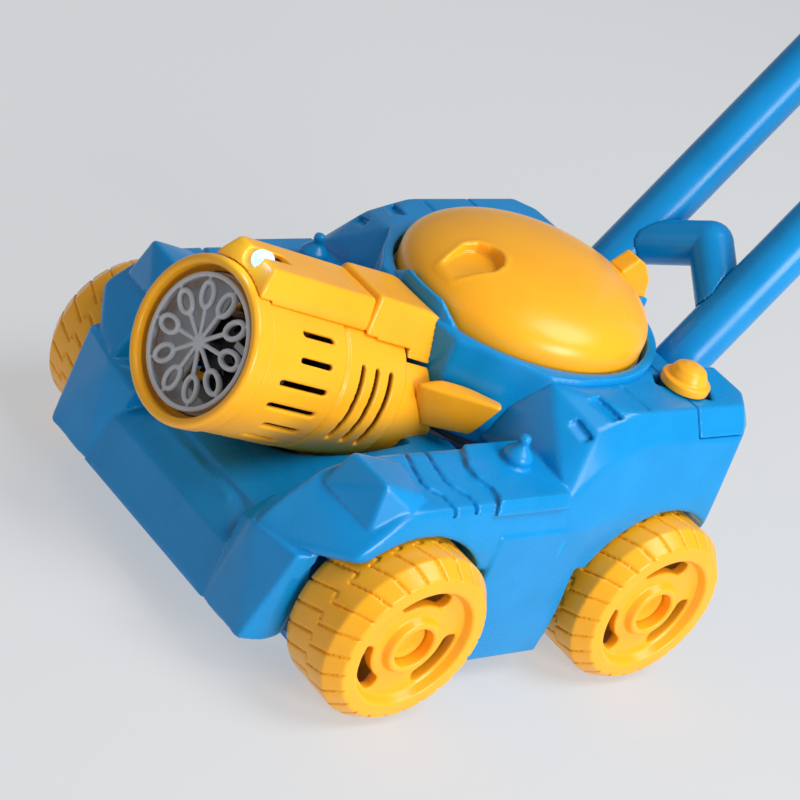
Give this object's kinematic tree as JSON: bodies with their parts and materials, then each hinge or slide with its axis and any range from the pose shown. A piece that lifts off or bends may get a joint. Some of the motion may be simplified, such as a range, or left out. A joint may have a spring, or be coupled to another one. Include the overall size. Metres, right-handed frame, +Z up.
{
  "type": "push-along bubble machine",
  "caption": "Toy lawn-mower with a bubble barrel on its nose, a domed tank lid, chunky wheels and a long tubular push handle.",
  "frame": {"origin": "on the floor under the middle of the whole toy, handle included", "axes": "+X to the toy's own left, +Y to its rear, the way the handle leans, +Z up"},
  "size_m": [0.244, 0.5672, 0.5626],
  "materials": {
    "blue_plastic": "glossy",
    "yellow_plastic": "glossy",
    "grey_plastic": "satin",
    "dark_plastic": "satin",
    "steel": "brushed",
    "cell_wrap": "printed film",
    "circuit_board": "lacquered",
    "clear_hose": "clear vinyl",
    "lamp_lens": "clear lens"
  },
  "bodies": {
    "toy_body": {"axle_cap_front_left": "steel", "axle_cap_front_right": "steel", "axle_cap_rear_left": "steel", "axle_cap_rear_right": "steel", "axle_front": "steel", "axle_rear": "steel", "barrel_collar": "yellow_plastic", "barrel_fin_left": "yellow_plastic", "barrel_fin_right": "yellow_plastic", "barrel_ridge": "yellow_plastic", "barrel_ring": "yellow_plastic", "barrel_shell": "yellow_plastic", "battery_cell_1": "cell_wrap", "battery_cell_2": "cell_wrap", "battery_cell_3": "cell_wrap", "battery_cell_4": "cell_wrap", "battery_tray": "dark_plastic", "body_shell": "blue_plastic", "chassis_pan": "blue_plastic", "contact_strip_front": "steel", "contact_strip_rear": "steel", "control_board": "circuit_board", "deck_cap_left": "blue_plastic", "deck_cap_right": "blue_plastic", "fan_bracket": "dark_plastic", "fan_duct": "dark_plastic", "fan_motor": "steel", "feed_hose": "clear_hose", "gear_frame": "dark_plastic", "grip_sleeve": "yellow_plastic", "handle_bow": "blue_plastic", "handle_brace": "blue_plastic", "handle_socket": "blue_plastic", "handle_tube_left": "blue_plastic", "handle_tube_right": "blue_plastic", "led_lamp": "lamp_lens", "lid_hinge_pin": "steel", "ridge_box": "yellow_plastic", "solution_tank": "grey_plastic", "solution_tray": "grey_plastic", "switch_body": "dark_plastic", "tank_cowl": "blue_plastic", "wand_motor": "steel", "wiper_bar": "grey_plastic"},
    "wheel_fl": {"wheel_front_left": "yellow_plastic"},
    "wheel_fr": {"wheel_front_right": "yellow_plastic"},
    "wheel_rl": {"wheel_rear_left": "yellow_plastic"},
    "wheel_rr": {"wheel_rear_right": "yellow_plastic"},
    "wand": {"wand_disc": "grey_plastic", "wand_shaft": "steel", "wand_gear": "dark_plastic"},
    "pinion": {"motor_pinion": "dark_plastic"},
    "fan": {"fan_rotor": "dark_plastic"},
    "lid": {"dome_lid": "yellow_plastic", "lid_hinge_arm": "yellow_plastic"},
    "knob": {"power_knob": "yellow_plastic"},
    "hatch": {"battery_door": "blue_plastic", "door_screw": "steel"}
  },
  "joints": [
    {"name": "front_left_wheel_spin", "type": "hinge", "parent": "toy_body", "child": "wheel_fl", "pos_m": [0.1035, -0.2066, 0.042], "axis": [1, 0, 0], "continuous": true},
    {"name": "front_right_wheel_spin", "type": "hinge", "parent": "toy_body", "child": "wheel_fr", "pos_m": [-0.1035, -0.2066, 0.042], "axis": [1, 0, 0], "continuous": true},
    {"name": "rear_left_wheel_spin", "type": "hinge", "parent": "toy_body", "child": "wheel_rl", "pos_m": [0.1035, -0.061, 0.042], "axis": [1, 0, 0], "continuous": true},
    {"name": "rear_right_wheel_spin", "type": "hinge", "parent": "toy_body", "child": "wheel_rr", "pos_m": [-0.1035, -0.061, 0.042], "axis": [1, 0, 0], "continuous": true},
    {"name": "wand_spin", "type": "hinge", "parent": "toy_body", "child": "wand", "pos_m": [0, -0.2705, 0.1173], "axis": [0, 0.9659, -0.2588], "continuous": true},
    {"name": "pinion_spin", "type": "hinge", "parent": "toy_body", "child": "pinion", "pos_m": [-0.0168, -0.2705, 0.1173], "axis": [0, 0.9659, -0.2588], "continuous": true},
    {"name": "fan_spin", "type": "hinge", "parent": "toy_body", "child": "fan", "pos_m": [0, -0.2705, 0.1173], "axis": [0, 0.9659, -0.2588], "continuous": true},
    {"name": "lid_lift", "type": "hinge", "parent": "toy_body", "child": "lid", "pos_m": [0, -0.0206, 0.1315], "axis": [-1, 0, 0], "range_deg": [0, 80]},
    {"name": "knob_slide", "type": "slide", "parent": "toy_body", "child": "knob", "axis": [0.5446, 0.8387, 0], "range_m": [-0.003, 0.003]},
    {"name": "hatch_drop", "type": "hinge", "parent": "toy_body", "child": "hatch", "pos_m": [0, -0.1032, 0.013], "axis": [1, 0, 0], "range_deg": [0, 95]}
  ],
  "couplings": [
    {"joint": "pinion_spin", "follows": "wand_spin", "ratio": -2.875}
  ]
}
